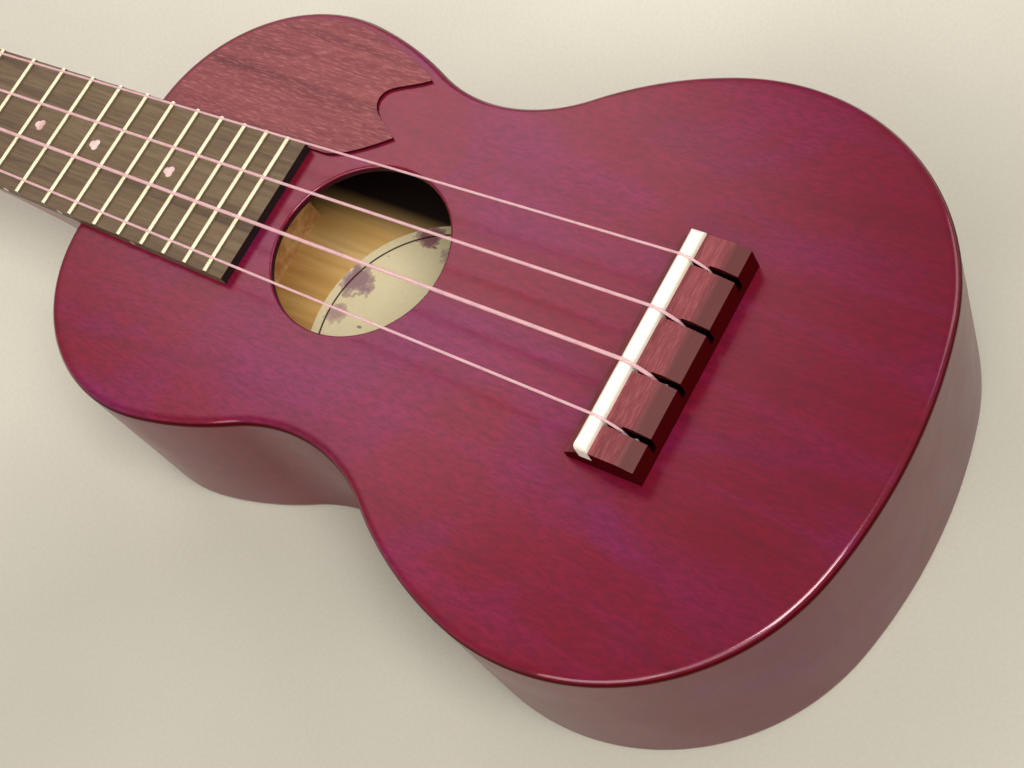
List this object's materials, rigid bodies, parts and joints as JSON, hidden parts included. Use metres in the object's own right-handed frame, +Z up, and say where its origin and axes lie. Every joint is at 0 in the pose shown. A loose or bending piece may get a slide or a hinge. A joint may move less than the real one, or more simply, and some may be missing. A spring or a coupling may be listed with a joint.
{
  "type": "soprano ukulele",
  "caption": "Small figure-eight bodied plucked lute with a stained wood body, round soundhole, fretted neck, slotted bridge, petal pickguard and open-gear side tuners.",
  "frame": {"origin": "on the plane that the back lies on, at the middle of the whole length, on the centre line", "axes": "+Y along the strings from the bridge to the headstock, +Z up out of the soundboard, +X towards the treble side"},
  "size_m": [0.158, 0.529, 0.0669],
  "materials": {
    "stained_top": "satin",
    "stained_body": "satin",
    "neck_wood": "satin",
    "pale_wood": "matte",
    "label_paper": "matte",
    "dark_wood": "satin",
    "fingerboard_wood": "satin",
    "fret_metal": "polished",
    "marker_plastic": "satin",
    "bone_white": "satin",
    "bridge_wood": "satin",
    "pickguard_wood": "satin",
    "string_nylon": "gloss",
    "tuner_metal": "polished",
    "gear_brass": "satin",
    "button_pearl": "gloss"
  },
  "bodies": {
    "instrument": {"soundboard": "stained_top", "back": "stained_body", "side_bass": "stained_body", "side_treble": "stained_body", "neck": "neck_wood", "top_lining": "pale_wood", "back_lining": "pale_wood", "neck_block": "pale_wood", "tail_block": "pale_wood", "upper_brace": "pale_wood", "lower_brace": "pale_wood", "fan_braces": "pale_wood", "back_braces": "pale_wood", "bridge_plate": "pale_wood", "label": "label_paper", "heel_cap": "dark_wood", "headstock_veneer": "dark_wood", "fretboard": "fingerboard_wood", "frets": "fret_metal", "position_markers": "marker_plastic", "side_dots": "marker_plastic", "nut": "bone_white", "saddle": "bone_white", "bridge": "bridge_wood", "pickguard": "pickguard_wood", "string_g": "string_nylon", "string_c": "string_nylon", "string_e": "string_nylon", "string_a": "string_nylon", "tuner_bushings": "tuner_metal", "tuner_screws": "tuner_metal", "tuner_plate_g": "tuner_metal", "tuner_plate_c": "tuner_metal", "tuner_plate_e": "tuner_metal", "tuner_plate_a": "tuner_metal"},
    "button_g": {"worm_shaft_g": "tuner_metal", "tuner_button_g": "button_pearl"},
    "post_g": {"tuner_post_g": "tuner_metal", "tuner_gear_g": "gear_brass", "gear_screw_g": "tuner_metal", "winding_g": "string_nylon"},
    "button_c": {"worm_shaft_c": "tuner_metal", "tuner_button_c": "button_pearl"},
    "post_c": {"tuner_post_c": "tuner_metal", "tuner_gear_c": "gear_brass", "gear_screw_c": "tuner_metal", "winding_c": "string_nylon"},
    "button_e": {"worm_shaft_e": "tuner_metal", "tuner_button_e": "button_pearl"},
    "post_e": {"tuner_post_e": "tuner_metal", "tuner_gear_e": "gear_brass", "gear_screw_e": "tuner_metal", "winding_e": "string_nylon"},
    "button_a": {"worm_shaft_a": "tuner_metal", "tuner_button_a": "button_pearl"},
    "post_a": {"tuner_post_a": "tuner_metal", "tuner_gear_a": "gear_brass", "gear_screw_a": "tuner_metal", "winding_a": "string_nylon"}
  },
  "joints": [
    {"name": "button_g_turn", "type": "hinge", "parent": "instrument", "child": "button_g", "pos_m": [-0.0165, 0.17651, 0.03386], "axis": [1, 0, 0], "continuous": true},
    {"name": "post_g_turn", "type": "hinge", "parent": "instrument", "child": "post_g", "pos_m": [-0.0165, 0.18457, 0.04269], "axis": [0, 0.1736, 0.9848], "continuous": true},
    {"name": "button_c_turn", "type": "hinge", "parent": "instrument", "child": "button_c", "pos_m": [-0.0165, 0.21591, 0.02691], "axis": [1, 0, 0], "continuous": true},
    {"name": "post_c_turn", "type": "hinge", "parent": "instrument", "child": "post_c", "pos_m": [-0.0165, 0.22396, 0.03575], "axis": [0, 0.1736, 0.9848], "continuous": true},
    {"name": "button_e_turn", "type": "hinge", "parent": "instrument", "child": "button_e", "pos_m": [0.0165, 0.21591, 0.02691], "axis": [1, 0, 0], "continuous": true},
    {"name": "post_e_turn", "type": "hinge", "parent": "instrument", "child": "post_e", "pos_m": [0.0165, 0.22396, 0.03575], "axis": [0, 0.1736, 0.9848], "continuous": true},
    {"name": "button_a_turn", "type": "hinge", "parent": "instrument", "child": "button_a", "pos_m": [0.0165, 0.17651, 0.03386], "axis": [1, 0, 0], "continuous": true},
    {"name": "post_a_turn", "type": "hinge", "parent": "instrument", "child": "post_a", "pos_m": [0.0165, 0.18457, 0.04269], "axis": [0, 0.1736, 0.9848], "continuous": true}
  ],
  "couplings": [
    {"joint": "post_g_turn", "follows": "button_g_turn", "ratio": -0.071429},
    {"joint": "post_c_turn", "follows": "button_c_turn", "ratio": -0.071429},
    {"joint": "post_e_turn", "follows": "button_e_turn", "ratio": -0.071429},
    {"joint": "post_a_turn", "follows": "button_a_turn", "ratio": -0.071429}
  ]
}
